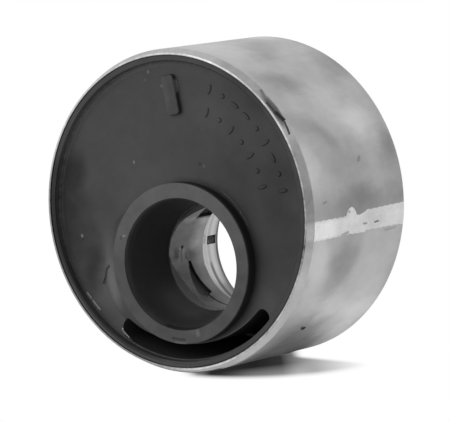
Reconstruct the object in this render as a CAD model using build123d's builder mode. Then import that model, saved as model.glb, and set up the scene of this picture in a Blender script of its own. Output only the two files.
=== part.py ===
"""Off-centre rubber-to-metal bush for a suspension arm.

A rolled steel outer sleeve is pressed into the arm's eye.  A steel inner sleeve, belled at its
back end, sits off centre in it, and one rubber moulding is bonded to both.  A crescent
void beside the collar makes the bush soft in one direction.

Frame: millimetres, +Z along the outer sleeve's axis towards the front face, origin on that axis
at the back end, so the bush stands on its back end.  The bore is offset towards -Y.
"""
from build123d import *
import math
import os

os.makedirs("parts", exist_ok=True)

# ---------------------------------------------------------------- driving dimensions, mm
# Outer sleeve
sleeve_od = 66.0               # press diameter
sleeve_length = 35.4           # end to end
sleeve_wall = 1.2              # thickness of the rolled strip
front_lead_length = 1.8        # lead-in at the front end, along the axis
front_lead_depth = 0.75        # and across the wall
back_lead_length = 1.25        # lead-in at the back end, along the axis
back_lead_depth = 0.8          # and across the wall

# Inner sleeve
inner_length = 21.4            # end to end
plain_bore = 22.0              # bore ahead of the bell
plain_bore_length = 12.0       # from the front end to the bell
bell_rise = 1.7                # bell, out from the plain bore
bell_lead_length = 3.4         # cone between the two, along the axis
bell_length = 3.6              # straight part of the bell
mouth_rise = 1.2               # mouth at the back end, out from the bell
mouth_wall = 1.6               # wall left at the mouth

# Keying windows through the inner sleeve's wall: angles about the bore axis in degrees, and
# distances below its front end
slot_line = 7.0                # middle of the tapered slot
slot_start = 182.0
slot_shoulder = 222.0          # widest place
slot_tip = 228.3               # pointed end
slot_tip_rise = 0.9            # the point lies this far ahead of the slot's middle
slot_width_start = 0.9
slot_width_shoulder = 4.4
line_end = 275.0               # far end of the fine groove that runs on from the slot
line_drop = 7.3                # its middle
line_width = 0.45
line_depth = 0.35
notch_start = 98.0             # oblong window
notch_end = 131.5
notch_drop = 9.5
notch_width = 5.0
square_start = 161.3           # small window in the bell
square_end = 170.9
square_drop = 17.42
square_width = 3.0
key_depth = 0.7                # rubber keys in the three windows, back from the bore

# Rubber body
lip_width = 1.3                # rubber skin along the outer sleeve's wall
lip_setback = 0.12             # lips below the outer sleeve's ends
lip_fillet = 0.25              # both edges of each lip, and its root
face_recess = 1.5              # front face below the outer sleeve's front end
back_recess = 3.9              # back face above the outer sleeve's back end
collar_cover_x = 1.4           # rubber over the inner sleeve, which sets the collar's outside:
collar_cover_y = 0.9           # the collar is slightly oval
collar_rim_x = 2.9             # top of the collar, from its outside to its mouth
collar_rim_y = 2.9
mouth_shift = 0.15             # mouth off the bore axis, towards -Y
collar_stand = 1.0             # collar above the outer sleeve's front end
collar_edge_fillet = 0.2       # outside edge of its top
mouth_lead_length = 1.7        # lead-in below the mouth, along the axis
mouth_lead_depth = 0.6         # and across the wall
lining_clearance = 0.1         # end of the lining, outside the inner sleeve's bore

# Flared root on one side of the collar: a slanted foot that runs up into the collar's wall
flare_r = 13.9
flare_spread = 4.6             # foot, beyond the collar's wall
flare_tuck = 0.2               # head, inside the collar's wall
flare_drop = 0.4               # head, below the collar's top
flare_direction = 184.0        # degrees

# Crescent void between the collar and the lip
void_width = 3.04              # across its middle
void_web = 0.3                 # rubber left there between the collar's wall and the void
void_ledge = 0.3               # face left between the void and the lip
void_inner_r = 24.3            # its inner wall, rounder than the outer one
void_skew = 0.7                # centre of the inner wall, towards +X
void_start = 228.8             # its tips, degrees about the outer sleeve's axis
void_end = 308.2
void_start_inner = 0.335       # corners of its outline, as shares of its width at each tip
void_start_outer = 0.53
void_end_corners = 0.446

# Index bar on the front face
bar_length = 8.2
bar_width = 3.1
bar_height = 0.9
bar_gap = 2.8                  # face left between its outer end and the lip
bar_position = 82.7            # degrees about the outer sleeve's axis
bar_direction = 92.0           # degrees, the way it points
bar_corner = 0.8
bar_edge_fillet = 0.25

# ---------------------------------------------------------------- sizes that follow
sleeve_r = sleeve_od / 2
rubber_r = sleeve_r - sleeve_wall
lip_r = rubber_r - lip_width
front_face_z = sleeve_length - face_recess
collar_top_z = sleeve_length + collar_stand
bar_top_z = front_face_z + bar_height
bar_distance = lip_r - bar_gap - bar_length / 2    # its middle, from the outer sleeve's axis
inner_front_z = back_recess + inner_length
plain_r = plain_bore / 2
bell_r = plain_r + bell_rise
mouth_r = bell_r + mouth_rise
inner_r = mouth_r + mouth_wall
collar_rx = inner_r + collar_cover_x
collar_ry = inner_r + collar_cover_y
mouth_rx = collar_rx - collar_rim_x
mouth_ry = collar_ry - collar_rim_y
bore_offset = lip_r - void_ledge - void_width - void_web - collar_ry   # bore axis, towards -Y
bore_point = Vector(0, -bore_offset, 0)
bore_axis = Axis(bore_point, (0, 0, 1))
mouth_point = bore_point - Vector(0, mouth_shift, 0)
void_outer_r = lip_r - void_ledge
void_inner_point = Vector(void_skew, void_inner_r + void_width - void_outer_r, 0)


def heading(degrees):
    """Unit vector at an angle in the XY plane."""
    return Vector(math.cos(math.radians(degrees)), math.sin(math.radians(degrees)), 0)


def void_tip(degrees):
    """Width of the void along a ray from the outer sleeve's axis."""
    along = void_inner_point.dot(heading(degrees))
    across = void_inner_point.dot(heading(degrees + 90))
    return void_outer_r - along - math.sqrt(void_inner_r**2 - across**2)


def bore_section(degrees):
    """Half plane through the bore axis: local x is the radius, local y the height."""
    return Plane(bore_point, x_dir=heading(degrees), z_dir=heading(degrees).cross(Vector(0, 0, 1)))


def window_plane(corners):
    """Plane through the bore axis that faces the middle of a window."""
    angles = [angle for angle, drop in corners]
    outward = heading((min(angles) + max(angles)) / 2)
    front = bore_point + Vector(0, 0, inner_front_z)
    return Plane(front, x_dir=Vector(0, 0, 1).cross(outward), z_dir=outward)


def window_outline(window, corners):
    """Corners of a window, carried from the plain bore's surface to its plane."""
    outline = []
    for angle, drop in corners:
        place = window.to_local_coords(bore_point + heading(angle) * plain_r)
        outline.append((place.X, -drop))
    return outline


# ---------------------------------------------------------------- outer sleeve
with BuildPart() as outer_sleeve:
    with BuildSketch(Plane.XZ):
        with BuildLine():
            Polyline(
                (rubber_r, 0),
                (sleeve_r - back_lead_depth, 0),
                (sleeve_r, back_lead_length),
                (sleeve_r, sleeve_length - front_lead_length),
                (sleeve_r - front_lead_depth, sleeve_length),
                (rubber_r, sleeve_length),
                close=True,
            )
        make_face()
    revolve(axis=Axis.Z)
outer_sleeve.part.label = "outer_sleeve"
export_step(outer_sleeve.part, "parts/outer_sleeve.step")

# ---------------------------------------------------------------- inner sleeve
bell_drop = plain_bore_length + bell_lead_length
mouth_drop = bell_drop + bell_length
keying_windows = [
    # corners: angle, distance below the front end
    [
        (slot_start, slot_line - slot_width_start / 2),
        (slot_shoulder, slot_line - slot_width_shoulder / 2),
        (slot_tip, slot_line - slot_tip_rise),
        (slot_shoulder, slot_line + slot_width_shoulder / 2),
        (slot_start, slot_line + slot_width_start / 2),
    ],
    [
        (notch_start, notch_drop - notch_width / 2),
        (notch_end, notch_drop - notch_width / 2),
        (notch_end, notch_drop + notch_width / 2),
        (notch_start, notch_drop + notch_width / 2),
    ],
    [
        (square_start, square_drop - square_width / 2),
        (square_end, square_drop - square_width / 2),
        (square_end, square_drop + square_width / 2),
        (square_start, square_drop + square_width / 2),
    ],
]

with BuildPart() as inner_sleeve:
    with BuildSketch(bore_section(0)):
        with BuildLine():
            Polyline(
                (inner_r, inner_front_z),
                (plain_r, inner_front_z),
                (plain_r, inner_front_z - plain_bore_length),
                (bell_r, inner_front_z - bell_drop),
                (bell_r, inner_front_z - mouth_drop),
                (mouth_r, back_recess),
                (inner_r, back_recess),
                close=True,
            )
        make_face()
    revolve(axis=bore_axis)
    for corners in keying_windows:
        window = window_plane(corners)
        with BuildSketch(window):
            with BuildLine():
                Polyline(*window_outline(window, corners), close=True)
            make_face()
        extrude(amount=2 * inner_r, mode=Mode.SUBTRACT)
    with BuildSketch(bore_section(slot_shoulder)):
        with Locations((plain_r, inner_front_z - line_drop)):
            Rectangle(2 * line_depth, line_width)
    revolve(axis=bore_axis, revolution_arc=line_end - slot_shoulder, mode=Mode.SUBTRACT)
inner_sleeve.part.label = "inner_sleeve"
export_step(inner_sleeve.part, "parts/inner_sleeve.step")

# ---------------------------------------------------------------- rubber body
with BuildPart() as rubber_body:
    # disc between the two sunk faces, with a lip along the outer sleeve's wall at each end
    with BuildSketch(Plane.XZ):
        with BuildLine():
            Polyline(
                (0, back_recess),
                (lip_r, back_recess),
                (lip_r, lip_setback),
                (rubber_r, lip_setback),
                (rubber_r, sleeve_length - lip_setback),
                (lip_r, sleeve_length - lip_setback),
                (lip_r, front_face_z),
                (0, front_face_z),
                close=True,
            )
        section = make_face()
        fillet(section.vertices().filter_by_position(Axis.X, lip_r, rubber_r), lip_fillet)
    revolve(axis=Axis.Z)
    # collar round the bore
    with BuildSketch(Plane.XY.offset(front_face_z)):
        with Locations(bore_point):
            Ellipse(collar_rx, collar_ry)
    extrude(amount=collar_top_z - front_face_z)
    collar_top = rubber_body.faces().sort_by(Axis.Z)[-1]
    fillet(collar_top.edges(), collar_edge_fillet)
    # flared root, lofted from its foot on the face to its head inside the collar
    with BuildSketch(Plane.XY.offset(front_face_z)):
        with Locations(bore_point + heading(flare_direction) * (collar_rx + flare_spread - flare_r)):
            Circle(flare_r)
    with BuildSketch(Plane.XY.offset(collar_top_z - flare_drop)):
        with Locations(bore_point + heading(flare_direction) * (collar_rx - flare_tuck - flare_r)):
            Circle(flare_r)
    loft()
    # index bar
    with BuildSketch(Plane.XY.offset(front_face_z)):
        with Locations(Location(heading(bar_position) * bar_distance, (0, 0, bar_direction))):
            RectangleRounded(bar_length, bar_width, bar_corner)
    extrude(amount=bar_height)
    bar_top = rubber_body.faces().filter_by_position(Axis.Z, bar_top_z - 0.01, bar_top_z + 0.01)
    fillet(bar_top.edges(), bar_edge_fillet)
    # tapered lining, from the inner sleeve's bore to the oval mouth
    with BuildSketch(Plane.XY.offset(inner_front_z)):
        with Locations(bore_point):
            Circle(plain_r + lining_clearance)
    with BuildSketch(Plane.XY.offset(collar_top_z - mouth_lead_length)):
        with Locations(mouth_point):
            Ellipse(mouth_rx - mouth_lead_depth, mouth_ry - mouth_lead_depth)
    loft(mode=Mode.SUBTRACT)
    with BuildSketch(Plane.XY.offset(collar_top_z - mouth_lead_length)):
        with Locations(mouth_point):
            Ellipse(mouth_rx - mouth_lead_depth, mouth_ry - mouth_lead_depth)
    with BuildSketch(Plane.XY.offset(collar_top_z)):
        with Locations(mouth_point):
            Ellipse(mouth_rx, mouth_ry)
    loft(mode=Mode.SUBTRACT)
    # cavity that the inner sleeve is bonded in
    with BuildSketch(Plane.XY.offset(back_recess)):
        with Locations(bore_point):
            Circle(inner_r)
    extrude(amount=inner_length, mode=Mode.SUBTRACT)
    # keys that fill its windows, cut back evenly behind the bore
    for corners in keying_windows:
        window = window_plane(corners)
        with BuildSketch(window):
            with BuildLine():
                Polyline(*window_outline(window, corners), close=True)
            make_face()
        extrude(amount=inner_r + collar_cover_y / 2)
    with BuildSketch(bore_section(0)):
        with BuildLine():
            Polyline(
                (0, inner_front_z),
                (plain_r + key_depth, inner_front_z),
                (plain_r + key_depth, inner_front_z - plain_bore_length),
                (bell_r + key_depth, inner_front_z - bell_drop),
                (bell_r + key_depth, back_recess),
                (0, back_recess),
                close=True,
            )
        make_face()
    revolve(axis=bore_axis, mode=Mode.SUBTRACT)
    # crescent void, right through
    with BuildSketch() as crescent:
        Circle(void_outer_r)
        with Locations(void_inner_point):
            Circle(void_inner_r, mode=Mode.SUBTRACT)
        with BuildLine():
            Polyline(
                (0, 0),
                heading(void_start) * sleeve_od,
                heading((void_start + void_end) / 2) * sleeve_od,
                heading(void_end) * sleeve_od,
                close=True,
            )
        make_face(mode=Mode.INTERSECT)
        fillet(crescent.vertices().sort_by(Axis.X)[2:], void_tip(void_end) * void_end_corners)
        fillet(crescent.vertices().sort_by(Axis.X)[1], void_tip(void_start) * void_start_inner)
        fillet(crescent.vertices().sort_by(Axis.X)[0], void_tip(void_start) * void_start_outer)
    extrude(amount=collar_top_z, mode=Mode.SUBTRACT)
rubber_body.part.label = "rubber_body"
export_step(rubber_body.part, "parts/rubber_body.step")
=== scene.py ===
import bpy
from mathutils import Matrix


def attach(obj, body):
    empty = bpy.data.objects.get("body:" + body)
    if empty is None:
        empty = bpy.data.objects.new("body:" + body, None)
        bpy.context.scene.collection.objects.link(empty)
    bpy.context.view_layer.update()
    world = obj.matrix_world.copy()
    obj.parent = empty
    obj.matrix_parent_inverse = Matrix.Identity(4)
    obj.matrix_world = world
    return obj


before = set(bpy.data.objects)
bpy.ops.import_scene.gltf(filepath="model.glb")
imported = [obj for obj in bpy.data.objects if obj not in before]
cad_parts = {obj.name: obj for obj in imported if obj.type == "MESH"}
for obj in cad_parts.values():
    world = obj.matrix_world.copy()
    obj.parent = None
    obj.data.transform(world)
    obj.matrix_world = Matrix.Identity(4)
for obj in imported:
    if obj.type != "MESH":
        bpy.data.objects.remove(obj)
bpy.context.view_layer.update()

import math

import bmesh
import bpy
import numpy as np
from mathutils import Matrix, Vector

# ------------------------------------------------------------ sizes, in metres, as the solids have them
SLEEVE_R = 0.0330
SLEEVE_TOP = 0.0354
FRONT_LEAD = (0.0018, 0.00075)
BACK_LEAD = (0.00125, 0.0008)
FACE_Z = 0.0339
BORE_Y = -0.01046
PLAIN_R = 0.0110
INNER_TOP = 0.0253
MM = 0.001

# millimetres of arc for each degree: on the tube, plain bore, collar's ring and void's edge
TUBE_ARC = math.radians(SLEEVE_R / MM)
BORE_ARC = math.radians(PLAIN_R / MM)
RING_ARC = math.radians(15.47)
VOID_ARC = math.radians(29.62)

# heights in millimetres over which the rubber's deeper places give way to its face, and its face to the lip
TO_FACE = (33.0, 33.6)
TO_LIP = (35.1, 35.2)


# ------------------------------------------------------------ shader sums
class Wire:
    """One socket of a material. Sums on wires and numbers add Math nodes; node() adds any other node."""

    def __init__(self, tree, socket=None):
        self.tree = tree
        self.socket = socket

    def node(self, kind, settings=None, sockets=None, out=0):
        """Adds a node: its settings first, then the values or links of its sockets. Gives its output number
        out, several of them when out is a tuple, and nothing when it has none."""
        made = self.tree.nodes.new("ShaderNode" + kind)
        for name, value in (settings or {}).items():
            setattr(made, name, value)
        for name, value in (sockets or {}).items():
            target = made.inputs[name]
            if isinstance(value, Wire):
                self.tree.links.new(value.socket, target)
            elif isinstance(value, tuple) and target.type == "RGBA":
                target.default_value = (*value, 1)
            else:
                target.default_value = value
        if isinstance(out, tuple):
            return [Wire(self.tree, made.outputs[number]) for number in out]
        return Wire(self.tree, made.outputs[out]) if len(made.outputs) else None

    def math(self, operation, *others):
        return self.node("Math", {"operation": operation}, dict(enumerate((self, *others))))

    def __add__(self, other):
        return self.math("ADD", other)

    __radd__ = __add__

    def __mul__(self, other):
        return self.math("MULTIPLY", other)

    __rmul__ = __mul__

    def __sub__(self, other):
        return self.math("SUBTRACT", other)

    def __rsub__(self, other):
        return self.node("Math", {"operation": "SUBTRACT"}, {0: other, 1: self})

    def __abs__(self):
        return self.math("ABSOLUTE")

    def most(self, other):
        return self.math("MAXIMUM", other)

    def least(self, other):
        return self.math("MINIMUM", other)

    def above(self, low, high):
        """0 below low, 1 above high, and a smooth rise between them."""
        return self.node(
            "MapRange",
            {"interpolation_type": "SMOOTHSTEP"},
            {"Value": self, "From Min": low, "From Max": high, "To Min": 0.0, "To Max": 1.0},
        )

    def within(self, low, high, soft):
        """1 between low and high and 0 outside them, with edges that are soft over that distance."""
        rise = self.above(low - soft / 2, low + soft / 2)
        fall = self.above(high - soft / 2, high + soft / 2)
        return rise * (1 - fall)

    def blend(self, low, high):
        """Colour low where this is 0 and colour high where it is 1."""
        # on a Mix node the colours are sockets 6 and 7, and output 2
        return self.node("Mix", {"data_type": "RGBA"}, {"Factor": self, 6: low, 7: high}, out=2)

    def grey(self):
        """The grey of this brightness."""
        return self.blend((0.0, 0.0, 0.0), (1.0, 1.0, 1.0))


def new_material(name):
    """An empty material: the material, its Object coordinates in millimetres, and their x, y and z."""
    material = bpy.data.materials.new(name)
    material.use_nodes = True
    material.node_tree.nodes.clear()
    place = Wire(material.node_tree).node("TexCoord", out=3)
    place = place.node("VectorMath", {"operation": "SCALE"}, {"Vector": place, "Scale": 1 / MM})
    x, y, z = place.node("SeparateXYZ", None, {"Vector": place}, out=(0, 1, 2))
    return material, place, x, y, z


def finish_material(material, place, sockets, height, black_marks_and_shade=None):
    """A Principled shader with those sockets and a bump whose height is in millimetres, wired to the output.
    Where the last argument is 1 a dead matt black takes its place, for dark marks and for painted shade."""
    normal = place.node("Bump", None, {"Strength": 1.0, "Distance": MM, "Height": height})
    shader = place.node("BsdfPrincipled", None, {**sockets, "Normal": normal})
    if black_marks_and_shade:
        matt_black = place.node("BsdfDiffuse", None, {"Color": (0.05, 0.05, 0.05)})
        shader = place.node("MixShader", None, {0: black_marks_and_shade, 1: shader, 2: matt_black})
    place.node("OutputMaterial", None, {"Surface": shader})
    return material


def cloud(place, size, detail=3.0, roughness=0.55, stretch=(1, 1, 1), seed=0.0):
    """Soft noise from -0.5 to 0.5, with lumps of that size in millimetres, longer along a stretched axis."""
    moved = place.node(
        "Mapping",
        None,
        {
            "Vector": place,
            "Location": (seed, seed * 1.7, seed * 0.6),
            "Scale": tuple(1 / (size * s) for s in stretch),
        },
    )
    noise = place.node(
        "TexNoise",
        {"noise_dimensions": "3D"},
        {"Vector": moved, "Scale": 1.0, "Detail": detail, "Roughness": roughness},
    )
    return noise - 0.5


def polar(x, y):
    """Radius in millimetres and angle in degrees, from -180 to 180, about the point where x and y are 0."""
    return (x * x + y * y).math("SQRT"), y.math("ARCTAN2", x) * (180 / math.pi)


def bore_polar(x, y):
    """The same about the bore's axis, but the angle is taken from its -X side and jumps on its +X side."""
    return polar(x * -1, (y - BORE_Y / MM) * -1)


def patch(across, along, centre, half, soft=0.8):
    """1 inside an oval and 0 outside it. Its centre and half sizes are in both measures, and soft is the
    share of those sizes over which its edge fades."""
    a = (across - centre[0]) * (1 / half[0])
    b = (along - centre[1]) * (1 / half[1])
    return 1 - (a * a + b * b).math("SQRT").above(1 - soft, 1 + soft * 0.5)


def streak(x, y, start, end, half_width, soft=0.3):
    """1 along a straight mark from start to end in those two measures, and 0 away from it."""
    way = np.subtract(end, start)
    length = float(np.hypot(*way))
    c, s = (float(v) for v in way / length)
    along = (x - start[0]) * c + (y - start[1]) * s
    off = abs((y - start[1]) * c - (x - start[0]) * s)
    return along.within(0, length, soft) * (1 - off.above(half_width, half_width + soft))


# ------------------------------------------------------------ materials
def tube_tone(place, z, turn, wavy_turn, lines):
    """Brightness of the rolled tube, and the share that is painted shade, a dead matt black. Edges wander
    along wavy_turn.
    """
    wavy_z = z + cloud(place, 5.0, 3.0, seed=9.0) * 4.0
    tone = 0.445 + cloud(place, 7.0, 4.0, 0.55, (1, 1, 1.8), 2.0) * 0.13
    tone = tone + cloud(place, 1.6, 3.0, 0.5, (1, 1, 1.5), 7.0) * 0.05
    # stains: turn, height, half sizes of both, degrees that it leans for each millimetre up, change of tone
    for at, high, half_turn, half_high, lean, change in (
        (-28.5, 21.3, 12.5, 5.6, -0.5, -0.150),
        (-27.0, 30.5, 12.0, 4.5, 0.5, 0.125),
        (-48.0, 14.0, 6.5, 15.0, 0.35, 0.110),
        (-52.0, 5.5, 13.0, 5.0, 0.0, 0.085),
        (-36.0, 9.0, 7.0, 6.0, 0.3, 0.040),
        (-8.5, 16.0, 8.0, 21.0, 0.0, -0.150),
        (6.0, 19.0, 15.0, 10.0, 0.3, -0.110),
        (9.0, 32.5, 9.0, 3.2, 0.0, 0.080),
        (23.5, 29.5, 6.5, 7.0, 0.6, -0.095),
        (18.0, 23.0, 5.0, 4.0, 1.0, -0.050),
        (42.5, 25.5, 6.0, 7.0, 0.4, -0.130),
        (40.0, 31.0, 9.0, 3.0, 0.0, -0.040),
        (22.0, 10.5, 8.0, 7.0, 0.3, 0.120),
        (33.0, 17.0, 9.0, 5.0, 0.0, 0.060),
        (64.0, 16.5, 9.0, 8.0, -0.9, -0.100),
        (86.0, 10.0, 8.0, 6.0, -0.8, -0.090),
        (70.0, 28.5, 16.0, 10.5, -0.6, 0.095),
        (8.0, 4.5, 15.0, 5.0, 0.6, -0.130),
        (13.0, 3.0, 8.0, 3.0, 0.0, -0.070),
        (49.0, 4.0, 10.0, 6.0, -0.6, -0.130),
        (79.0, 3.8, 6.5, 4.0, 0.0, 0.090),
    ):
        across = wavy_turn - (wavy_z - high) * lean
        tone = tone + patch(across, wavy_z, (at, high), (half_turn, half_high)) * change
    # the back lead and the foot of the tube
    back = 1 - wavy_turn.above(-132.0, -86.0)
    tone = tone - (1 - z.above(1.6, 4.0)) * 0.03
    tone = tone - (1 - z.above(0.6, 1.4)) * turn.within(-46.0, 30.0, 10.0) * 0.18
    tone = tone - (1 - z.above(1.1, 1.4)) * (1 - turn.above(-60.0, -20.0).most(back)) * 0.25
    # painted shade on the -Y side: darker tone, dead matt black where deepest, thinner under the front lead,
    # and ending softly towards -X
    below = wavy_turn + 56.0 + (24.0 - wavy_z).most(0.0)
    clear = below.above(-20.0, 14.0).most(back)
    least = 0.08 + z.above(25.0, 33.5) * 0.42
    tone = tone * (least + (1 - least) * clear * clear)
    painted_shade = (1 - below.above(-24.0, -6.0).most(back)) * (1 - z.above(31.4, 33.4)) * 0.7
    # scratches, and fine rolling lines that run round the tube
    tone = tone - streak(turn * TUBE_ARC, z, (-10.65, 8.0), (-10.5, 3.6), 0.10, 0.2) * 0.11
    tone = tone - streak(turn, z, (7.4, 15.6), (9.2, 14.6), 0.3) * 0.10
    tone = tone - streak(turn, z, (-5.0, 30.5), (-4.4, 29.0), 0.2) * 0.10
    return tone + lines * 0.03, painted_shade


def lead_tone(place, turn, wavy_turn):
    """Brightness of the front lead, which is scuffed, and darker beside the weld."""
    tone = 0.49 + cloud(place, 1.8, 3.0, 0.6, seed=12.0) * 0.16
    tone = tone - wavy_turn.within(-18.0, 18.0, 12.0) * 0.13 - wavy_turn.within(-10.0, 2.0, 7.0) * 0.06
    tone = tone + wavy_turn.within(-74.0, -30.0, 8.0) * 0.13 + turn.within(-17.0, -11.0, 2.0) * 0.14
    return tone - turn.within(37.0, 60.0, 8.0) * 0.10


def lead_smear(arc, high, z):
    """Rubber smeared on the front lead, thin at both its ends, and the thick core of it."""
    film = patch(arc, high, (18.1, 34.55), (4.4, 0.95), 0.5) * 0.75
    film = film.most(streak(arc, high, (23.6, 34.0), (20.8, 34.5), 0.12, 0.3) * 0.5)
    core = streak(arc, high, (20.4, 34.95), (17.6, 34.75), 0.14, 0.25) * 0.8
    core = core.most(streak(arc, high, (17.8, 34.7), (15.2, 34.0), 0.28, 0.3))
    core = core.most(streak(arc, high, (15.2, 34.1), (12.2, 34.5), 0.07, 0.25) * 0.75)
    return film.most(core) * z.above(33.3, 33.7) * (1 - z.above(35.15, 35.3) * 0.6), core


def sleeve_steel():
    """Rolled steel tube: mottled grey, stained, scratched and pitted, with rubber smeared on its lead, and
    painted shade on its -Y side and on the -X side of its lead.
    """
    material, place, x, y, z = new_material("sleeve_steel")
    r, turn = polar(x, y)
    wavy_turn = turn + cloud(place, 6.0, 3.0, seed=4.0) * 7.0
    wavy_turn = wavy_turn + cloud(place, 1.6, 3.0, 0.6, (1, 1, 3), 14.0) * 5.0
    lines = cloud(place, 0.22, 2.0, 0.6, (60, 60, 1), 3.0)
    tone, painted_shade = tube_tone(place, z, turn, wavy_turn, lines)
    front_lead = z.above(33.4, 33.8)
    tone = front_lead * lead_tone(place, turn, wavy_turn) + (1 - front_lead) * tone
    end_face = z.above(35.33, 35.37)
    scuffs = cloud(place, 1.1, 3.0, 0.6, seed=11.0) * 0.35 + turn.within(48.0, 72.0, 8.0) * 0.11
    tone = tone - end_face * (0.10 - scuffs + turn.within(-74.0, -12.0, 8.0) * 0.25)
    # painted shade: the lead and end face are darker on the far half and on the -X side
    far_half = 1 - turn.within(-96.0, 92.0, 14.0)
    shaded = 1 - (x + y * 0.5).above(-27.0, -19.0)
    tone = tone * (1 - z.above(33.5, 33.8) * (far_half * 0.15 + shaded * 0.35))
    # painted shade: the foot of the lead is black on the -Y side
    foot = turn.within(-128.0, -82.0, 4.0) * z.within(33.4, 34.15, 0.2)
    ragged = cloud(place, 1.2, 3.0, seed=1.0)
    arc = turn * TUBE_ARC + ragged * 0.5
    high = z + ragged * 0.25
    smear, core = lead_smear(arc, high, z)
    pit = patch(arc, high, (-32.2, 23.6), (0.55, 0.75), 0.4)
    pit = pit.most(streak(arc, high, (-32.0, 23.8), (-31.6, 25.0), 0.12, 0.4) * 0.6)
    seam = 0.4 + 0.6 * r.above(31.85, 31.95)
    tone = tone.most(0.05) * (1 - smear * 0.92) * (1 - pit * 0.97) * seam
    relief = cloud(place, 0.5, 3.0, 0.6, seed=5.0) * 0.012 + cloud(place, 3.0, 2.0, seed=3.0) * 0.03
    return finish_material(
        material,
        place,
        {
            "Base Color": tone.grey(),
            "Metallic": 1 - smear,
            "Roughness": 0.40 + cloud(place, 3.0, 2.0, seed=6.0) * 0.16 + smear * 0.2,
        },
        relief + lines * 0.006 - pit * 0.15 + smear * 0.03,
        # dead matt black: painted shade on the -Y side and at the lead's foot, and the pit and the smear's
        # core
        painted_shade.most(pit).most(foot * 0.85).most(core * 0.8),
    )


def weld_steel():
    """Scarfed weld: bright fresh-cut steel with drag lines along the seam and a few dark slots."""
    material, place, x, y, z = new_material("weld_steel")
    turn = polar(x, y)[1]
    tone = 0.64 + cloud(place, 3.0, 3.0, seed=3.0) * 0.18 + cloud(place, 0.9, 3.0, 0.6, seed=8.0) * 0.14
    tone = tone + z.above(24.0, 28.0) * 0.12 - patch(turn, z, (-13.5, 12.5), (6.0, 4.5)) * 0.08
    tone = tone - abs(turn + 14.2).above(2.0, 3.8) * z.above(21.0, 24.0) * 0.14
    grain = cloud(place, 0.3, 3.0, 0.6, (1, 1, 14), 5.0)
    slots = (
        streak(turn, z, (-14.8, 12.2), (-14.6, 10.5), 0.16, 0.3)
        .most(streak(turn, z, (-14.5, 16.3), (-14.7, 14.8), 0.18, 0.35) * 0.7)
        .most(streak(turn, z, (-16.9, 22.6), (-16.5, 21.2), 0.35, 0.4) * 0.6)
        .most(patch(turn, z, (-9.4, 21.3), (0.5, 0.45), 0.6) * 0.6)
    )
    tone = (tone + grain * 0.10) * (1 - slots * 0.72)
    return finish_material(
        material,
        place,
        {"Base Color": tone.grey(), "Metallic": 1.0, "Roughness": 0.36},
        grain * 0.015 - slots * 0.08 + cloud(place, 1.3, 3.0, seed=2.0) * 0.03,
    )


def plain_bore_tone(place, z, side, wavy_side, broad, fine, drawn):
    """Brightness of the plain bore, with painted shade towards larger side angles and two painted
    highlights. Edges wander along wavy_side.
    """
    wavy_z = z + cloud(place, 3.0, 3.0, seed=9.0) * 2.0
    tone = 0.205 + 0.20 * (1 - wavy_z.above(14.5, 18.5))
    # painted shade: darker towards larger side angles
    tone = tone * (1 - 0.42 * wavy_side.above(-4.0, 14.0)) * (1 - 0.35 * wavy_side.above(30.0, 52.0))
    tone = tone + drawn * 0.10 + broad * 0.05 + fine * 0.05
    # stains, and painted highlights in the first two rows: side angle, height, half sizes of both, change of
    # tone
    for at, high, half_turn, half_high, change in (
        (-46.0, 20.0, 4.0, 3.5, 0.10),
        (-43.0, 15.0, 4.0, 2.5, 0.10),
        (-18.0, 16.5, 6.0, 2.5, 0.06),
        (-4.0, 16.0, 9.0, 3.0, -0.12),
        (50.0, 19.4, 7.0, 1.8, -0.09),
        (-9.0, 22.8, 7.0, 1.1, -0.10),
        (-10.0, 20.0, 4.0, 1.0, 0.07),
        (-5.0, 19.2, 5.0, 0.5, -0.06),
    ):
        tone = tone + patch(wavy_side, wavy_z, (at, high), (half_turn, half_high)) * change
    # dark edge beside the oblong notch
    return tone * (1 - side.within(-51.0, -46.6, 1.2) * z.within(13.3, 18.7, 0.6) * 0.6)


def bell_tone(z, wavy_side, broad, fine, lines):
    """Brightness of the cone, the bell with its dark band and painted shade, and the mouth, and the share
    that is mouth.
    """
    tone = 0.84 + lines * 0.30 + broad * 0.12 + z.above(9.9, 10.3) * 0.08
    # a dark band; painted shade darkens the band, the low end and then the whole bell towards larger side
    # angles, and the tone falls towards the mouth
    tone = tone * (1 - z.within(8.4, 9.35, 0.5) * (0.22 + 0.45 * wavy_side.above(2.0, 14.0)))
    tone = tone * (1 - (1 - z.above(8.3, 8.7)) * wavy_side.above(8.0, 34.0) * 0.25)
    tone = tone - (1 - z.above(6.3, 7.5)) * 0.26
    tone = tone * (1 - 0.5 * wavy_side.above(18.0, 44.0))
    mouth = 1 - z.above(6.15, 6.35)
    return tone * (1 - mouth) + (0.20 + fine * 0.08) * mouth, mouth


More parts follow.
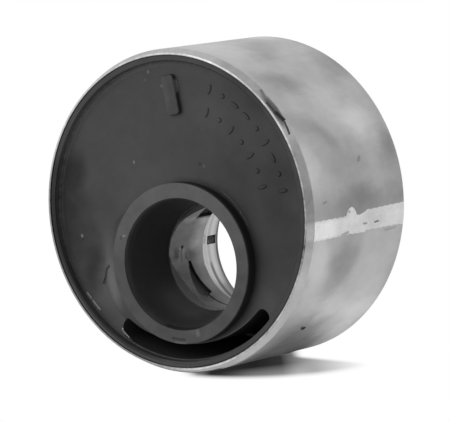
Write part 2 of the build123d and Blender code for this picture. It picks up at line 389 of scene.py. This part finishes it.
def inner_steel():
    """Turned steel: stained on the plain bore, clean and bright on the cone and bell, dull in the mouth,
    with painted shade to one side and painted highlights.
    """
    material, place, x, y, z = new_material("inner_steel")
    side = bore_polar(x, y)[1]
    broad = cloud(place, 4.0, 3.0, 0.5, seed=3.0)
    fine = cloud(place, 1.2, 3.0, 0.5, seed=6.0)
    drawn = cloud(place, 1.3, 3.0, 0.5, (1, 1, 4), 8.0)
    lines = cloud(place, 0.16, 2.0, 0.6, (80, 80, 1), 2.0)
    wavy_side = side + broad * 16 + drawn * 8
    bell = 1 - (z + broad * 1.2 + drawn * 0.8).above(12.7, 13.5)
    plain = plain_bore_tone(place, z, side, wavy_side, broad, fine, drawn) + lines * 0.03
    clean, mouth = bell_tone(z, wavy_side, broad, fine, lines)
    tone = bell * clean + (1 - bell) * plain
    # a pit with a painted highlight on its lip above it, and the two scratches that run from it
    pit = patch(side + fine * 3, z + fine * 0.6, (-14.6, 20.6), (2.1, 0.45), 0.5)
    arc = side * BORE_ARC + fine * 0.2
    tail = streak(arc, z, (-2.9, 20.6), (0.3, 20.95), 0.12, 0.3)
    tail = tail.most(streak(arc, z, (-0.8, 19.3), (0.7, 18.4), 0.08, 0.25))
    tone = tone.most(0.05) * (1 - pit * 0.85) * (1 - tail * 0.3)
    tone = tone + patch(side, z, (-13.0, 21.4), (1.2, 0.3), 0.6) * 0.12
    return finish_material(
        material,
        place,
        {"Base Color": tone.least(1.0).grey(), "Metallic": 1.0, "Roughness": 0.38 + mouth * 0.2},
        cloud(place, 0.4, 3.0, 0.6, seed=5.0) * 0.012 + lines * 0.012 - pit * 0.1,
    )


def face_tone(place, x, y, fine):
    """Brightness of the rubber's face, with bloom, and lighter and darker places of painted light and shade.
    """
    broad = cloud(place, 9.0, 3.0, 0.5, seed=2.0)
    wavy_x = x + broad * 8
    wavy_y = y + cloud(place, 9.0, 3.0, 0.5, seed=20.0) * 8
    tone = 0.038 + broad * 0.016 + fine * 0.008
    # lighter and darker places, mostly painted light and shade, darkest near the -X rim: x, y, half sizes of
    # both, change of tone
    for at_x, at_y, half_x, half_y, change in (
        (-7.0, 6.0, 9.0, 6.0, 0.014),
        (-10.0, 17.0, 12.0, 8.0, 0.004),
        (18.0, 1.0, 11.0, 13.0, -0.013),
        (27.0, 0.0, 5.0, 16.0, -0.012),
        (22.0, -13.0, 6.0, 6.0, -0.012),
        (23.0, 22.0, 7.0, 6.0, -0.016),
        (10.0, 19.0, 5.0, 4.0, 0.010),
        (-28.5, 3.0, 7.0, 13.0, -0.034),
        (-25.0, 12.0, 4.0, 4.0, -0.018),
        (-24.0, -10.5, 3.5, 4.5, -0.024),
        (-19.5, -5.0, 3.5, 6.0, 0.012),
        (-18.0, -11.5, 5.0, 8.0, 0.038),
        (-12.0, -21.0, 8.0, 4.0, 0.012),
        (17.0, -20.5, 4.5, 3.0, 0.012),
    ):
        tone = tone + patch(wavy_x, wavy_y, (at_x, at_y), (half_x, half_y)) * change
    return tone.most(0.003)


def lip_tone(tone, x, y, z, r, turn, ragged):
    """That brightness with dust and painted light in the corner below the lip. On part of the lip the inner
    edge is dark and the outer edge is rubbed."""
    corner = (1 - z.above(35.0, 35.2)) * z.above(*TO_FACE) * (1 - (x + ragged * 4).above(-6.0, 12.0))
    out = r + ragged * 0.3
    # dust and painted light: the shaded corner below the lip made lighter
    dust_and_light = out.within(29.6, 30.9, 0.6) * 0.028 + out.within(30.35, 30.95, 0.4) * 0.05
    tone = tone + dust_and_light * corner * (1 + ragged) * (0.3 + y.above(-12.0, 3.0) * 0.7)
    lip = z.above(*TO_LIP)
    inner_edge = (1 - (r + ragged * 0.5).above(31.0, 31.25)) * lip * r.above(30.3, 30.4)
    inner_edge = inner_edge * (1 - turn.above(-116.0, -104.0)).most(turn.above(165.0, 175.0))
    rubbed = r.above(31.05, 31.4) * lip * (1 - y.above(-16.0, -4.0)) * (1 - x.above(-8.0, 4.0))
    return tone * (1 - inner_edge * 0.75) + rubbed * 0.016


def collar_tone(place, tone, x, y, z, fine, ragged, top):
    """That brightness with bloom on the collar's ring, and painted light that makes the ring lighter towards
    +Y and lights the flare's crest. The collar's +X wall is darkened by painted shade, with a painted
    highlight at its foot."""
    bore_r, bore_turn = polar(x, y - BORE_Y / MM)
    ring = (1 - bore_r.above(17.0, 17.4)) * top
    # bloom, and painted light that makes the ring lighter towards +Y
    bloom = 0.056 + (y + 12.0).above(-4.0, 14.0) * 0.028 + cloud(place, 3.2, 3.0, 0.5, seed=30.0) * 0.05
    tone = ring * (bloom + fine * 0.02) + (1 - ring) * tone
    # painted light on the flare's crest
    crest = patch(x + ragged, y, (-18.9, -13.2), (2.0, 5.0), 0.9) * z.above(33.8, 34.2) * (1 - ring)
    # painted shade on the collar's wall, on its +X side
    wall = (bore_r + ragged * 0.2).above(16.1, 16.4) * (1 - bore_r.above(17.1, 17.3))
    wall = wall * z.within(33.95, 36.15, 0.3)
    tone = (tone + crest * 0.05) * (1 - wall * (x + 2.0).above(0.0, 6.0) * 0.45)
    # painted highlight along the crease at the wall's foot, and a painted glint beside it
    crease_highlight = (bore_r + ragged * 0.15).within(17.2, 17.5, 0.14) * bore_turn.within(18.0, 49.0, 8.0) * 0.034
    crease_highlight = crease_highlight.most(patch(x, y, (15.15, -2.1), (0.2, 0.5), 0.5) * 0.05)
    return tone + crease_highlight * (1 - z.above(34.2, 34.5))


def lining_tone(tone, z, bore_r, side, fine):
    """That brightness with the dark lining of the bore, painted light low on one side, and dust with painted
    light on the keys and on the film below it.
    """
    inside = (1 - bore_r.above(14.6, 15.2)) * (1 - z.above(35.0, 35.6)) * z.above(25.0, 25.4)
    # painted light: the lining lighter low down on one side
    lining_light = (1 - z.above(27.5, 33.0)) * side.within(25.0, 75.0, 30.0)
    tone = inside * (0.036 + fine * 0.016 + lining_light * 0.05) + (1 - inside) * tone
    key = (1 - z.above(25.0, 25.2)) * (1 - bore_r.above(15.4, 15.6))
    # dust and painted light, which lift the keys and the film out of their shade
    key_dust_and_light = 0.17 + z.above(17.4, 19.0) * 0.10 + fine * 0.05
    in_small_window = (1 - z.above(9.6, 10.0)) * (0.55 + 0.6 * side.above(-16.0, -12.5))
    key_dust_and_light = key_dust_and_light + in_small_window * (0.80 - (z - 6.0) * 0.14)
    key_dust_and_light = key_dust_and_light * (1 - z.above(18.0, 18.6) * (1 - side.above(-62.0, -42.0)) * 0.93)
    key_dust_and_light = key_dust_and_light + patch(side, z, (4.6, 18.2), (3.0, 1.3), 0.6) * 0.6
    speck = patch(side, z, (-14.4, 8.3), (1.0, 0.3), 0.5)
    return key * key_dust_and_light * (1 - speck * 0.8) + (1 - key) * tone


def void_shade(z, r, turn, ragged):
    """1 on the void's walls, less on the thin ledge between the void and the lip, and 0 elsewhere: painted
    shade, where a dead matt black takes the rubber's place.
    """
    near_face = z.above(*TO_FACE) * (1 - z.above(34.6, 35.0))
    walls = r.within(25.6, 30.35, 0.15) * (1 - z.above(33.5, 33.8)) * turn.within(-132.5, -51.0, 0.6)
    ledge = (r + ragged * 0.1).within(29.7, 30.3, 0.1) * turn.within(-118.0, -74.0, 6.0) * near_face
    return walls.most(ledge * 0.8)


def painted_highlights(x, y, z, r, turn, bore_r, ring_arc, top):
    """Brightness of painted highlights: glints on the ring and the void's edges, the torn flash, and painted
    light on the index bar.
    """
    # painted glints on the ring's edges
    ring_glints = streak(ring_arc, bore_r, (-28.6, 16.25), (-25.8, 16.35), 0.12, 0.3)
    ring_glints = ring_glints.most(patch(x, y, (1.7, -24.9), (0.6, 0.9), 0.6))
    ring_glints = ring_glints.most(patch(x, y, (-12.9, -3.3), (0.42, 0.24), 0.5) * 2.5) * top
    # painted light on the void's inner edge, and a painted glint on its outer edge
    edge = r.within(26.9, 27.3, 0.2) * turn.within(-80.0, -60.0, 6.0)
    edge = edge.most(streak(turn * VOID_ARC, r, (-67.7, 29.16), (-65.2, 29.85), 0.08, 0.15) * 10)
    edge = edge * z.above(33.7, 33.9)
    # the torn flash made lighter, as a painted highlight
    torn = r.within(29.2, 30.25, 0.1) * z.above(33.93, 34.02) * (1 - z.above(34.5, 34.6))
    torn = torn * turn.within(-154.0, -141.0, 1.0)
    # painted light on the index bar's top and on its shaded +X wall
    bar = patch(x, y, (1.5, 23.6), (1.5, 4.4), 0.6) * z.above(34.5, 34.7) * 0.014
    bar = bar.most(patch(x, y, (4.5, 25.1), (0.24, 1.5), 0.4) * (1 - z.above(34.6, 34.75)) * 0.12)
    return ring_glints * 0.045 + edge * 0.03 + torn * 0.13 + bar


def black_rubber():
    """Moulded rubber: charcoal with a dry bloom, dust and painted light in corners, painted highlights on
    edges, and painted shade in its void, on its face and on the collar.
    """
    material, place, x, y, z = new_material("black_rubber")
    r, turn = polar(x, y)
    bore_r, side = bore_polar(x, y)
    bore_turn = polar(x, y - BORE_Y / MM)[1]
    ragged = cloud(place, 1.6, 3.0, seed=4.0)
    fine = cloud(place, 1.3, 4.0, 0.6, seed=8.0)
    top = z.above(35.6, 35.9)
    tone = face_tone(place, x, y, fine)
    tone = lip_tone(tone, x, y, z, r, turn, ragged)
    tone = collar_tone(place, tone, x, y, z, fine, ragged, top)
    tone = lining_tone(tone, z, bore_r, side, fine)
    # open crack at the flare's foot, drawn as a dark line of painted shade
    crack = streak(x, y, (-18.9, -8.9), (-20.2, -9.6), 0.12, 0.2)
    crack = crack.most(streak(x, y, (-20.2, -9.6), (-20.9, -10.9), 0.18, 0.25))
    crack = crack.most(streak(x, y, (-20.9, -10.9), (-21.9, -12.5), 0.14, 0.25))
    crack = crack * z.above(*TO_FACE) * (1 - top)
    # parting line on the ring, and the dark rim of the bore below it
    ring_arc = bore_turn * RING_ARC
    parting = streak(ring_arc + ragged * 0.2, bore_r, (-29.2, 15.55), (-25.9, 15.6), 0.12, 0.3) * top
    rim = (bore_turn + ragged * 4).within(-118.0, -78.0, 6.0) * z.within(35.2, 36.25, 0.2)
    rim = rim * (1 - bore_r.above(13.9, 14.1))
    tone = tone * (1 - crack * 0.7) * (1 - parting * 0.55) * (1 - rim * 0.6)
    tone = tone + painted_highlights(x, y, z, r, turn, bore_r, ring_arc, top)
    # specks: x, y, half size, change of tone; the bright ones are painted glints
    for at_x, at_y, half, change in (
        (-25.6, -2.1, 0.32, 9.0),
        (-25.5, -2.8, 0.30, -0.5),
        (-9.3, 11.2, 0.28, 2.0),
        (7.1, 8.8, 0.38, -0.5),
        (8.0, 8.2, 0.25, 1.2),
        (-2.1, 28.8, 0.35, 1.8),
        (-3.2, 27.3, 0.25, 0.8),
        (0.7, 25.5, 0.28, 1.5),
        (-13.8, -3.6, 0.35, -0.4),
    ):
        tone = tone * (1 + patch(x, y, (at_x, at_y), (half, half * 1.3), 0.5) * change)
    relief = cloud(place, 0.35, 4.0, 0.65, seed=5.0) * 0.018 + cloud(place, 2.4, 3.0, seed=1.0) * 0.06
    return finish_material(
        material,
        place,
        {
            "Base Color": tone.most(0.002).grey(),
            "Roughness": 0.58 + cloud(place, 4.0, 3.0, seed=3.0) * 0.2,
            "Specular IOR Level": 0.3,
        },
        relief - crack * 0.2 - parting * 0.1,
        void_shade(z, r, turn, ragged),
    )


# ------------------------------------------------------------ surfaces
def surface(name, points, material, wrap=False):
    """A mesh from grids of points [sheet, u, v, 3], or one grid [u, v, 3]. A face points to the side that u,
    then v, turn towards, and wrap joins the last row to the first. Points that meet become one."""
    points = points.reshape(-1, *points.shape[-3:])
    number = np.arange(points[..., 0].size).reshape(points.shape[:-1])
    if wrap:
        number = np.concatenate([number, number[:, :1]], axis=1)
    corners = (number[:, :-1, :-1], number[:, 1:, :-1], number[:, 1:, 1:], number[:, :-1, 1:])
    mesh = bpy.data.meshes.new(name)
    mesh.from_pydata(points.reshape(-1, 3).tolist(), [], np.stack(corners, -1).reshape(-1, 4).tolist())
    sheet = bmesh.new()
    sheet.from_mesh(mesh)
    bmesh.ops.remove_doubles(sheet, verts=sheet.verts, dist=1e-7)
    sheet.to_mesh(mesh)
    sheet.free()
    mesh.polygons.foreach_set("use_smooth", np.ones(len(mesh.polygons), bool))
    mesh.materials.append(material)
    thing = bpy.data.objects.new(name, mesh)
    bpy.context.scene.collection.objects.link(thing)
    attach(thing, "root")
    return thing


def lining_film(material):
    """Rubber film inside the bore. Its lower edge is a closed curve through set depths by angle, smoothed
    over a few degrees, with two small ripples added. Its section is a thin tongue that runs out to nothing
    there."""
    edge = np.array(
        # angle about the bore in degrees, depth below the sleeve's front in millimetres
        [
            *((0, 12.2), (40, 13.0), (80, 15.5), (95, 17.0), (108, 17.3), (115, 16.2), (121, 14.6)),
            *((126, 13.0), (131, 12.0), (141, 11.2), (158, 10.4), (172, 10.3), (186, 11.4), (201, 12.9)),
            *((222, 13.3), (241, 12.4), (251, 12.4), (262, 12.8), (300, 12.6), (360, 12.2)),
        ]
    )
    t = np.arange(0, 360, 1.0)
    raw = np.interp(t, edge[:, 0], edge[:, 1])
    soft = np.hanning(11) / np.hanning(11).sum()
    depth = np.convolve(np.concatenate([raw[-5:], raw, raw[:5]]), soft, "valid")
    depth = depth + 0.10 * np.sin(np.radians(t * 23)) + 0.07 * np.sin(np.radians(t * 41 + 50))
    low = SLEEVE_TOP - depth * MM
    # the tongue's section: share of the way up from the lower edge, and place beyond the bore's wall
    share = np.array([1.03, 0.97, 0.8, 0.4, 0.12, 0.0, 0.0, 0.97, 1.03])
    off = np.array([0.12, -0.06, -0.12, -0.11, -0.09, -0.03, 0.04, 0.04, 0.12]) * MM
    z = low[:, None] + (INNER_TOP - low)[:, None] * share
    r = PLAIN_R + off + 0 * z
    a = np.radians(t)[:, None]
    points = np.stack([r * np.cos(a), r * np.sin(a) + BORE_Y, z], -1)
    return surface("lining_film", points, material, wrap=True)


def weld_seam(material):
    """Scarfed weld along the sleeve. Both its edges are angles that step and wander with height. Across it
    the metal stands proud by a flat-topped bulge, 1 minus the fourth power of the place across, and both
    edges dip under the tube. The underside is the same sheet a little nearer the axis, and each end closes
    on its middle point."""
    height = np.linspace(0.4, 33.7, 340)
    # both edges: heights in millimetres, and their angles in degrees
    lower = np.interp(
        height,
        [0, 3.6, 14.9, 15.3, 21.9, 22.2, 23.8, 24.1, 35.4],
        [-18.0, -17.5, -17.4, -17.9, -17.6, -16.8, -16.8, -17.7, -17.9],
    )
    upper = np.interp(
        height,
        [0, 15.0, 16.2, 18.5, 18.9, 19.4, 20.0, 21.2, 21.9, 22.3, 35.4],
        [-9.4, -9.7, -10.6, -10.9, -9.6, -8.2, -7.7, -7.8, -9.0, -10.6, -10.5],
    )
    ripple = np.sin(height * 3.1) * 0.10 + np.sin(height * 7.7 + 1.0) * 0.07
    ripple = ripple + np.sin(height * 13.1 + 2.0) * 0.05
    lower, upper = lower + ripple, upper - ripple[::-1]
    z = height * MM
    tube = np.interp(
        z,
        [0, BACK_LEAD[0], SLEEVE_TOP - FRONT_LEAD[0], SLEEVE_TOP],
        [SLEEVE_R - BACK_LEAD[1], SLEEVE_R, SLEEVE_R, SLEEVE_R - FRONT_LEAD[1]],
    )
    across = np.linspace(-1, 1, 17)
    a = np.radians(lower[:, None] * (1 - across) / 2 + upper[:, None] * (1 + across) / 2)
    r = tube[:, None] + (0.075 * (1 - across**4) - 0.02) * MM
    shell = np.stack([r * np.cos(a), r * np.sin(a), z[:, None] + 0 * a], -1)
    under = shell[:, ::-1] * np.array([0.995, 0.995, 1.0])
    loops = np.concatenate([shell, under, shell[:, :1]], axis=1).transpose(1, 0, 2)
    middle = loops.mean(axis=0)[None].repeat(len(loops), 0)
    points = np.concatenate([middle[:, :1], loops, middle[:, -1:]], axis=1)
    return surface("weld_seam", points, material)


def domes(name, material, centres, halves, heights, headings, floor, power):
    """Low closed domes on a level floor. Over an oval footprint the height falls as 1 minus the share of the
    way out to that power, the rim goes straight down under the floor, and the underside closes it."""
    centres, halves = centres * MM, halves * MM
    # the share of the way out, up to the rim and again under the floor, where it ends in the middle
    share = np.array([0, 0.3, 0.55, 0.75, 0.9, 1.0, 1.0, 0.0])
    crown = np.arange(len(share)) < 6
    sunk = -0.08
    rise = np.where(crown, (1 - share**power) * heights[:, None], sunk) * MM
    a = np.radians(np.arange(0, 361, 20.0))
    u = share[:, None] * np.cos(a) * halves[:, 0, None, None]
    v = share[:, None] * np.sin(a) * halves[:, 1, None, None]
    turn = np.radians(headings)[:, None, None]
    x = centres[:, 0, None, None] + u * np.cos(turn) - v * np.sin(turn)
    y = centres[:, 1, None, None] + u * np.sin(turn) + v * np.cos(turn)
    z = floor + rise[:, :, None] + 0 * x
    return surface(name, np.stack([x, y, z], -1), material)


def face_pips(material):
    """Plain moulded pips and short dashes on two arcs of the front face, each a flat-topped oval dome."""
    outer = np.arange(2, 63, 7.5)
    inner = np.arange(6, 62, 9.0)
    turns = np.concatenate([outer, inner])
    a = np.radians(turns)
    rings = np.concatenate([0 * outer + 26.3, 0 * inner + 21.6])
    long = np.concatenate([np.arange(len(outer)) % 3 != 1, np.arange(len(inner)) % 2 == 0])
    centres = np.stack([rings * np.cos(a), rings * np.sin(a)], -1)
    halves = np.stack([np.where(long, 1.15, 0.55), np.where(long, 0.42, 0.55)], -1)
    headings = turns + 90 * (turns % 2 > 0.9)
    heights = 0.22 + 0 * turns
    return domes("face_pips", material, centres, halves, heights, headings, FACE_Z, power=6)


def flash_fins(material):
    """Torn flash at the lip's foot and along the void's tip. Each fin follows an arc, and its crest wanders.
    Its section is a triangle over a shallow foot that is sunk in the face."""
    # the section's points: across it, up on its crest, and down into the face
    across = np.array([-0.5, 0.0, 0.5, 0.5, -0.5, -0.5])
    up = np.array([0.0, 1.0, 0.0, 0.0, 0.0, 0.0])
    down = np.array([0.0, 0.0, 0.0, -0.1, -0.1, 0.0]) * MM
    fins = []
    for start, end, r_start, r_end, height, width in (
        (207.0, 211.2, 29.95, 29.85, 0.36, 0.75),
        (210.8, 217.4, 29.85, 29.75, 0.32, 0.80),
        (228.8, 236.5, 29.35, 30.15, 0.38, 0.22),
    ):
        t = np.linspace(0, 1, 60)
        a = np.radians(start + (end - start) * t)
        r = (r_start + (r_end - r_start) * t) * MM
        taper = np.minimum(1, np.minimum(t, 1 - t) * 7)
        crest = height * taper * (0.75 + 0.25 * np.sin(t * 37) * np.sin(t * 17 + 1)) * MM
        r = r[:, None] + across * width * MM * np.maximum(taper, 0.05)[:, None]
        z = FACE_Z + crest[:, None] * up + down
        fins.append(np.stack([r * np.cos(a)[:, None], r * np.sin(a)[:, None], z], -1))
    return surface("flash_fins", np.stack(fins), material)


# ------------------------------------------------------------ stage
def painted_floor_shadow(x, y, r):
    """The part's painted shadow on the floor, which lies between a bowed line and a straight one, and the
    share by which each place in it is lightened."""
    near = (y + 38.5 - (x - 4.0) * (x - 4.0) * 0.0023).above(-0.7, 0.7)
    far = 1 - (y + x * 0.18 + 34.6).above(-0.5, 0.4) * x.above(-2.5, 1.0)
    shadow = near * far * x.above(-33.0, -27.0) * (1 - x.above(14.0, 25.0)) * (1 - y.above(-34.0, -31.5))
    beside = (1 - r.above(36.0, 47.0)) * (1 - y.above(-32.0, -12.0)) * y.above(-35.0, -33.5)
    shadow = shadow.most(beside * (1 - x.above(-6.0, 0.0)))
    lift = (x + 5.2).most(0.0) * 0.042 + (x + 12.0).most(0.0) * 0.003
    lift = lift + (y + 35.6).least(0.0) * -0.11 * (1 - x.above(-2.0, 4.0)) * x.above(-24.0, -12.0)
    lift = lift.most((1 - (x + 33.0) * (1 / 9)).most(0.0) * 0.5).least(1.0)
    return shadow, lift


def floor_material():
    """Matt floor that shines white for the camera. The part's painted shadow and the footprint's painted
    shade stay dark, and gloss also sees a wider painted shadow."""
    material, place, x, y, _ = new_material("floor_white")
    r = polar(x, y)[0]
    # painted shade: the dark footprint reaches a little further out on the -X and -Y side, and is open under
    # the bore
    reach = (1 - x.above(-4.5, 4.5)) * (1 - y.above(-20.0, -10.0)) * 2.1
    open_floor = (r - reach).above(31.6, 32.0)
    under_bore = 1 - polar(x + 3.0, y - BORE_Y / MM)[0].above(16.4, 16.8)
    shadow, lift = painted_floor_shadow(x, y, r)
    dark = shadow.most(1 - open_floor)
    glow = (open_floor * (1 - shadow * (1 - lift))).most(under_bore)
    # how far a place lies beyond the wide painted shadow's straight edge, in millimetres
    beyond = (x - 6.0) * -0.618 + (y + 34.0) * -0.787
    wide = beyond.above(-3.0, 9.0) * (0.95 - (y * -1 - 40.0).above(0.0, 12.0) * 0.3)
    wide = wide * (1 - y.above(-31.0, -28.0))
    gloss = glow * (1 - under_bore * 0.35) * (1 - wide)
    camera_ray, glossy_ray, passing_ray = place.node("LightPath", out=(0, 3, 6))
    shine = (glow * camera_ray.most(passing_ray)).most(glossy_ray * gloss)
    # the painted shadow and footprint darken the matt floor
    matt = place.node("BsdfDiffuse", None, {"Color": (0.8 - dark * 0.77).grey()})
    white = place.node("Emission", None, {"Color": (1.0, 1.0, 1.0), "Strength": 1.0})
    both = place.node("MixShader", None, {0: shine, 1: matt, 2: white})
    place.node("OutputMaterial", None, {"Surface": both})
    return material


def make_floor():
    """A level square, six metres wide, at the part's back end."""
    mesh = bpy.data.meshes.new("floor")
    half = 3.0
    corners = [(-half, -half, 0), (half, -half, 0), (half, half, 0), (-half, half, 0)]
    mesh.from_pydata(corners, [], [(0, 1, 2, 3)])
    mesh.materials.append(floor_material())
    floor = bpy.data.objects.new("floor", mesh)
    bpy.context.scene.collection.objects.link(floor)


def make_world():
    """A plain grey studio all round, white where the camera sees it."""
    world = bpy.data.worlds.new("studio")
    world.use_nodes = True
    world.node_tree.nodes.clear()
    wire = Wire(world.node_tree)
    colour = wire.node("LightPath").blend((0.38, 0.38, 0.38), (1.0, 1.0, 1.0))
    back = wire.node("Background", None, {"Color": colour, "Strength": 1.0})
    wire.node("OutputWorld", None, {"Surface": back})
    bpy.context.scene.world = world


def lamp(name, direction, distance, size, power):
    """A square lamp that faces the part's middle from that direction."""
    middle = Vector((0, 0, 0.018))
    light = bpy.data.lights.new(name, "AREA")
    light.size = size
    light.energy = power
    thing = bpy.data.objects.new(name, light)
    bpy.context.scene.collection.objects.link(thing)
    way = Vector(direction).normalized()
    thing.location = middle + way * distance
    thing.rotation_mode = "QUATERNION"
    thing.rotation_quaternion = way.to_track_quat("Z", "Y")


def make_camera():
    """A long lens, rolled, above the front face and to the side of the part."""
    right = Vector((0.79870, -0.15899, -0.5804)).normalized()
    back = Vector((0.59012, 0.01826, 0.8071))
    back = (back - right * back.dot(right)).normalized()
    data = bpy.data.cameras.new("camera")
    data.sensor_width = 36
    data.lens = 315.74
    data.clip_start, data.clip_end = 0.05, 20
    thing = bpy.data.objects.new("camera", data)
    turn = Matrix((right, back.cross(right), back)).transposed().to_4x4()
    place = Matrix.Translation((0.47837, 0.01311, 0.67253))
    thing.matrix_world = place @ turn
    bpy.context.scene.collection.objects.link(thing)
    bpy.context.scene.camera = thing


def wear(node, material):
    """Gives a CAD node its finish."""
    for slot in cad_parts[node].material_slots:
        slot.material = material


# ------------------------------------------------------------ the part
rubber = black_rubber()
wear("outer_sleeve", sleeve_steel())
wear("inner_sleeve", inner_steel())
wear("rubber_body", rubber)
lining_film(rubber)
face_pips(rubber)
flash_fins(rubber)
weld_seam(weld_steel())

# ------------------------------------------------------------ the studio
make_floor()
make_world()
lamp("key", direction=(-0.46, 0.28, 0.85), distance=0.8, size=1.0, power=5.4)
make_camera()
bpy.context.scene.view_settings.view_transform = "Standard"
